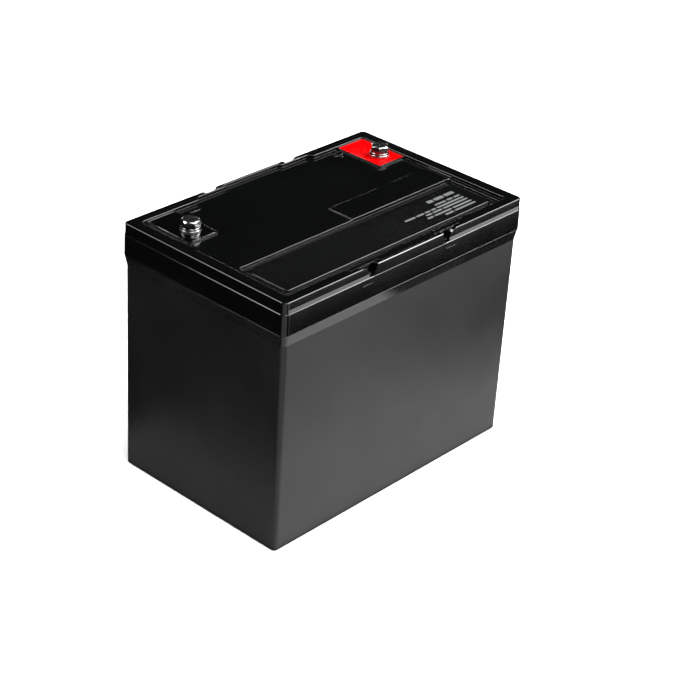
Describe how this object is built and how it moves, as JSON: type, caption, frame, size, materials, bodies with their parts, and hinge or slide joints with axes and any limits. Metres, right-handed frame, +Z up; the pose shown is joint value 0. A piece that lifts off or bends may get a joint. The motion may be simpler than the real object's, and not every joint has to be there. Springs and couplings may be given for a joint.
{
  "type": "deep cycle battery",
  "caption": "Sealed rectangular deep cycle battery with a glued raised-rim lid, valve strip, and bolted terminals in coloured wells on one long side.",
  "frame": {"origin": "middle of the underside", "axes": "+X along the long side towards the positive terminal, +Y along the short side towards the side that carries the terminals, +Z up"},
  "size_m": [0.2616, 0.1686, 0.2162],
  "materials": {
    "case_plastic": "satin moulded ABS with a fine even sheen",
    "lid_plastic": "polished moulded ABS",
    "cover_plastic": "satin moulded ABS",
    "adhesive": "cured epoxy bead",
    "valve_rubber": "moulded EPDM rubber",
    "positive_resin": "cast epoxy, bright red",
    "negative_resin": "cast epoxy, black",
    "terminal_metal": "tin-plated brass",
    "seal_rubber": "black rubber",
    "plated_steel": "bright zinc plate",
    "bolt_steel": "bright zinc plate",
    "positive_plate": "brown lead dioxide paste on a lead grid",
    "negative_plate": "grey spongy lead paste on a lead grid",
    "glass_mat": "white glass-fibre mat",
    "lead": "cast lead"
  },
  "bodies": {
    "root": {"case": "case_plastic", "lid": "lid_plastic", "vent_cover": "cover_plastic", "lid_adhesive": "adhesive", "relief_valve_1": "valve_rubber", "relief_valve_2": "valve_rubber", "relief_valve_3": "valve_rubber", "relief_valve_4": "valve_rubber", "relief_valve_5": "valve_rubber", "relief_valve_6": "valve_rubber", "positive_terminal_resin": "positive_resin", "positive_terminal_insert": "terminal_metal", "positive_o_ring": "seal_rubber", "negative_terminal_resin": "negative_resin", "negative_terminal_insert": "terminal_metal", "negative_o_ring": "seal_rubber", "cell_1_positive_plates": "positive_plate", "cell_1_negative_plates": "negative_plate", "cell_1_separators": "glass_mat", "cell_2_positive_plates": "positive_plate", "cell_2_negative_plates": "negative_plate", "cell_2_separators": "glass_mat", "cell_3_positive_plates": "positive_plate", "cell_3_negative_plates": "negative_plate", "cell_3_separators": "glass_mat", "cell_4_positive_plates": "positive_plate", "cell_4_negative_plates": "negative_plate", "cell_4_separators": "glass_mat", "cell_5_positive_plates": "positive_plate", "cell_5_negative_plates": "negative_plate", "cell_5_separators": "glass_mat", "cell_6_positive_plates": "positive_plate", "cell_6_negative_plates": "negative_plate", "cell_6_separators": "glass_mat", "intercell_link_1": "lead", "intercell_link_2": "lead", "intercell_link_3": "lead", "intercell_link_4": "lead", "intercell_link_5": "lead", "positive_end_strap": "lead", "negative_end_strap": "lead"},
    "positive_washers": {"positive_flat_washer": "plated_steel", "positive_spring_washer": "plated_steel"},
    "positive_bolt": {"positive_bolt": "bolt_steel"},
    "negative_washers": {"negative_flat_washer": "plated_steel", "negative_spring_washer": "plated_steel"},
    "negative_bolt": {"negative_bolt": "bolt_steel"}
  },
  "joints": [
    {"name": "positive_bolt_lift", "type": "slide", "parent": "root", "child": "positive_washers", "axis": [0, 0, 1], "range_m": [0, 0.0125]},
    {"name": "positive_bolt_turn", "type": "hinge", "parent": "positive_washers", "child": "positive_bolt", "pos_m": [0.1067, 0.0444, 0.2079], "axis": [0, 0, 1], "range_deg": [0, 3600]},
    {"name": "negative_bolt_lift", "type": "slide", "parent": "root", "child": "negative_washers", "axis": [0, 0, 1], "range_m": [0, 0.0125]},
    {"name": "negative_bolt_turn", "type": "hinge", "parent": "negative_washers", "child": "negative_bolt", "pos_m": [-0.0989, 0.0444, 0.2079], "axis": [0, 0, 1], "range_deg": [0, 3600]}
  ],
  "couplings": [
    {"joint": "positive_bolt_turn", "follows": "positive_bolt_lift", "rad_per_m": 5026.5},
    {"joint": "negative_bolt_turn", "follows": "negative_bolt_lift", "rad_per_m": 5026.5}
  ]
}
